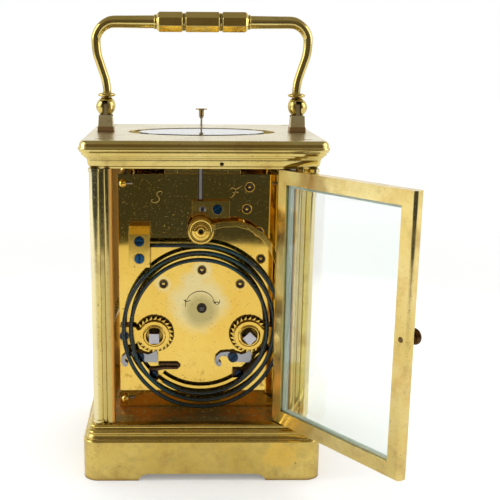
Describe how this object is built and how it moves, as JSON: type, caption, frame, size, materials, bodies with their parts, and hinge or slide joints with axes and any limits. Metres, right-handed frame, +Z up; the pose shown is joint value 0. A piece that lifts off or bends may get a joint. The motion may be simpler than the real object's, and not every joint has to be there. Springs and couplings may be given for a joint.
{
  "type": "mantel clock",
  "caption": "Brass carriage clock with folding bail, hinged glazed back door, winding squares, coiled gong, hammer, platform escapement and a repeat button on its roof.",
  "frame": {"origin": "centre of the base's footprint, on the plane of its feet", "axes": "+Z up, +Y out of the hinged back door, the dial faces -Y, +X towards the door's free side"},
  "size_m": [0.1232, 0.1373, 0.1878],
  "materials": {
    "case_brass": "polished, with age spots",
    "gilt_brass": "lacquered, worn in places",
    "screw_brass": "polished",
    "dark_bronze": "dark patina",
    "polished_steel": "polished",
    "blued_steel": "blued",
    "gong_steel": "blue-grey, semi-matte",
    "bevelled_glass": "clear, with ground bevels",
    "white_enamel": "gloss enamel"
  },
  "bodies": {
    "case": {"base": "case_brass", "case_pillars": "case_brass", "cornice": "case_brass", "case_glasses": "bevelled_glass", "case_screws": "screw_brass", "door_hinge_pins": "polished_steel", "handle_lugs": "case_brass", "handle_pins": "polished_steel", "repeat_spring": "polished_steel", "dial_mask": "gilt_brass", "dial": "white_enamel", "front_plate": "gilt_brass", "back_plate": "gilt_brass", "plate_pillars": "gilt_brass", "taper_pins": "polished_steel", "winding_cocks": "gilt_brass", "click_springs": "blued_steel", "plate_screws": "blued_steel", "contrate_cock": "gilt_brass", "gong": "gong_steel", "gong_block": "gilt_brass", "platform": "gilt_brass", "balance_cock": "gilt_brass", "hairspring": "blued_steel"},
    "door": {"door_frame": "case_brass", "door_glass": "bevelled_glass", "door_knob": "dark_bronze"},
    "bail": {"handle": "case_brass"},
    "button": {"repeat_button": "case_brass"},
    "lever": {"repeat_lever": "polished_steel"},
    "centre": {"centre_wheel": "gilt_brass", "minute_hand": "blued_steel"},
    "minute": {"minute_wheel": "gilt_brass"},
    "hour": {"hour_wheel": "gilt_brass", "hour_hand": "blued_steel"},
    "second": {"second_wheel": "gilt_brass"},
    "third": {"third_wheel": "gilt_brass"},
    "fourth": {"fourth_wheel": "gilt_brass"},
    "contrate": {"contrate_wheel": "gilt_brass"},
    "escape": {"escape_wheel": "gilt_brass"},
    "pallets": {"pallet_fork": "polished_steel"},
    "balance": {"balance_wheel": "gilt_brass"},
    "index": {"index_arm": "polished_steel"},
    "time_barrel": {"time_barrel": "gilt_brass", "time_mainspring": "polished_steel"},
    "time_arbor": {"time_winding_arbor": "polished_steel", "time_ratchet": "gilt_brass"},
    "time_click": {"time_click": "polished_steel"},
    "strike_barrel": {"strike_barrel": "gilt_brass", "strike_mainspring": "polished_steel"},
    "strike_arbor": {"strike_winding_arbor": "polished_steel", "strike_ratchet": "gilt_brass"},
    "strike_click": {"strike_click": "polished_steel"},
    "strike_second": {"strike_second_wheel": "gilt_brass"},
    "pins": {"pin_wheel": "gilt_brass"},
    "gathering": {"gathering_wheel": "gilt_brass"},
    "warning": {"warning_wheel": "gilt_brass"},
    "fly": {"fly": "gilt_brass"},
    "hammer": {"hammer": "gilt_brass"},
    "rack": {"rack": "gilt_brass"}
  },
  "joints": [
    {"name": "door_hinge", "type": "hinge", "parent": "case", "child": "door", "pos_m": [-0.0319, 0.03745, 0.0757], "axis": [0, 0, 1], "range_deg": [-124.6, 0]},
    {"name": "handle_fold", "type": "hinge", "parent": "case", "child": "bail", "pos_m": [0, 0, 0.1495], "axis": [1, 0, 0], "range_deg": [-90, 75]},
    {"name": "repeat_press", "type": "slide", "parent": "case", "child": "button", "axis": [0, 0, -1], "range_m": [0, 0.002], "stiffness_N_per_m": 300, "springref_m": -0.002, "deforming": ["repeat_spring"]},
    {"name": "repeat_lever_turn", "type": "hinge", "parent": "case", "child": "lever", "pos_m": [0.014, 0, 0.112], "axis": [0, 1, 0], "range_deg": [-8, 0]},
    {"name": "hammer_swing", "type": "hinge", "parent": "case", "child": "hammer", "pos_m": [-0.032, 0, 0.079], "axis": [0, 1, 0], "range_deg": [-9, 0], "stiffness_Nm_per_rad": 0.02, "springref_deg": 20.05},
    {"name": "index_turn", "type": "hinge", "parent": "case", "child": "index", "pos_m": [0, 0.00352, 0.1334], "axis": [0, 0, 1], "range_deg": [-10, 10]},
    {"name": "time_wind", "type": "hinge", "parent": "case", "child": "time_arbor", "pos_m": [0.0198, 0, 0.0563], "axis": [0, 1, 0], "continuous": true},
    {"name": "strike_wind", "type": "hinge", "parent": "case", "child": "strike_arbor", "pos_m": [-0.0198, 0, 0.0563], "axis": [0, 1, 0], "continuous": true},
    {"name": "time_click_turn", "type": "hinge", "parent": "case", "child": "time_click", "pos_m": [0.0263, 0, 0.0463], "axis": [0, 1, 0], "range_deg": [-8, 0], "stiffness_Nm_per_rad": 0.005, "springref_deg": 8.59},
    {"name": "strike_click_turn", "type": "hinge", "parent": "case", "child": "strike_click", "pos_m": [-0.0133, 0, 0.0463], "axis": [0, 1, 0], "range_deg": [-8, 0], "stiffness_Nm_per_rad": 0.005, "springref_deg": 8.59},
    {"name": "centre_turn", "type": "hinge", "parent": "case", "child": "centre", "pos_m": [0, 0, 0.0673], "axis": [0, 1, 0], "continuous": true},
    {"name": "minute_turn", "type": "hinge", "parent": "case", "child": "minute", "pos_m": [-0.0084, 0, 0.0673], "axis": [0, 1, 0], "continuous": true},
    {"name": "hour_turn", "type": "hinge", "parent": "case", "child": "hour", "pos_m": [0, 0, 0.0673], "axis": [0, 1, 0], "continuous": true},
    {"name": "second_turn", "type": "hinge", "parent": "case", "child": "second", "pos_m": [0.016, 0, 0.07775], "axis": [0, 1, 0], "continuous": true},
    {"name": "time_barrel_turn", "type": "hinge", "parent": "case", "child": "time_barrel", "pos_m": [0.0198, 0, 0.0563], "axis": [0, 1, 0], "continuous": true},
    {"name": "third_turn", "type": "hinge", "parent": "case", "child": "third", "pos_m": [0, 0, 0.0837], "axis": [0, 1, 0], "continuous": true},
    {"name": "fourth_turn", "type": "hinge", "parent": "case", "child": "fourth", "pos_m": [0, 0, 0.0976], "axis": [0, 1, 0], "continuous": true},
    {"name": "contrate_turn", "type": "hinge", "parent": "case", "child": "contrate", "pos_m": [0, 0, 0.1098], "axis": [0, 1, 0], "continuous": true},
    {"name": "escape_turn", "type": "hinge", "parent": "case", "child": "escape", "pos_m": [0, -0.009, 0.1226], "axis": [0, 0, 1], "continuous": true},
    {"name": "pallet_swing", "type": "hinge", "parent": "case", "child": "pallets", "pos_m": [0, -0.00438, 0.1267], "axis": [0, 0, 1], "range_deg": [-5, 5]},
    {"name": "balance_swing", "type": "hinge", "parent": "case", "child": "balance", "pos_m": [0, 0.00352, 0.1287], "axis": [0, 0, 1], "range_deg": [-220, 220]},
    {"name": "pin_turn", "type": "hinge", "parent": "case", "child": "pins", "pos_m": [-0.0244, 0, 0.0885], "axis": [0, 1, 0], "continuous": true},
    {"name": "strike_second_turn", "type": "hinge", "parent": "case", "child": "strike_second", "pos_m": [-0.016, 0, 0.07775], "axis": [0, 1, 0], "continuous": true},
    {"name": "strike_barrel_turn", "type": "hinge", "parent": "case", "child": "strike_barrel", "pos_m": [-0.0198, 0, 0.0563], "axis": [0, 1, 0], "continuous": true},
    {"name": "gathering_turn", "type": "hinge", "parent": "case", "child": "gathering", "pos_m": [-0.0233, 0, 0.0998], "axis": [0, 1, 0], "continuous": true},
    {"name": "warning_turn", "type": "hinge", "parent": "case", "child": "warning", "pos_m": [-0.0182, 0, 0.1094], "axis": [0, 1, 0], "continuous": true},
    {"name": "fly_turn", "type": "hinge", "parent": "case", "child": "fly", "pos_m": [-0.0192, 0, 0.11845], "axis": [0, 1, 0], "continuous": true},
    {"name": "rack_fall", "type": "hinge", "parent": "case", "child": "rack", "pos_m": [-0.02, 0, 0.0493], "axis": [0, 1, 0], "range_deg": [-24, 0]}
  ],
  "couplings": [
    {"joint": "repeat_lever_turn", "follows": "repeat_press", "rad_per_m": -67.8},
    {"joint": "minute_turn", "follows": "centre_turn", "ratio": -0.33333},
    {"joint": "hour_turn", "follows": "centre_turn", "ratio": 0.083333},
    {"joint": "second_turn", "follows": "centre_turn", "ratio": -0.25},
    {"joint": "time_barrel_turn", "follows": "centre_turn", "ratio": 0.041667},
    {"joint": "third_turn", "follows": "centre_turn", "ratio": -4},
    {"joint": "fourth_turn", "follows": "centre_turn", "ratio": 16},
    {"joint": "contrate_turn", "follows": "centre_turn", "ratio": -80},
    {"joint": "escape_turn", "follows": "centre_turn", "ratio": 480},
    {"joint": "strike_second_turn", "follows": "pin_turn", "ratio": -0.16667},
    {"joint": "strike_barrel_turn", "follows": "pin_turn", "ratio": 0.027778},
    {"joint": "gathering_turn", "follows": "pin_turn", "ratio": -7.5},
    {"joint": "warning_turn", "follows": "pin_turn", "ratio": 52.5},
    {"joint": "fly_turn", "follows": "pin_turn", "ratio": -315}
  ]
}
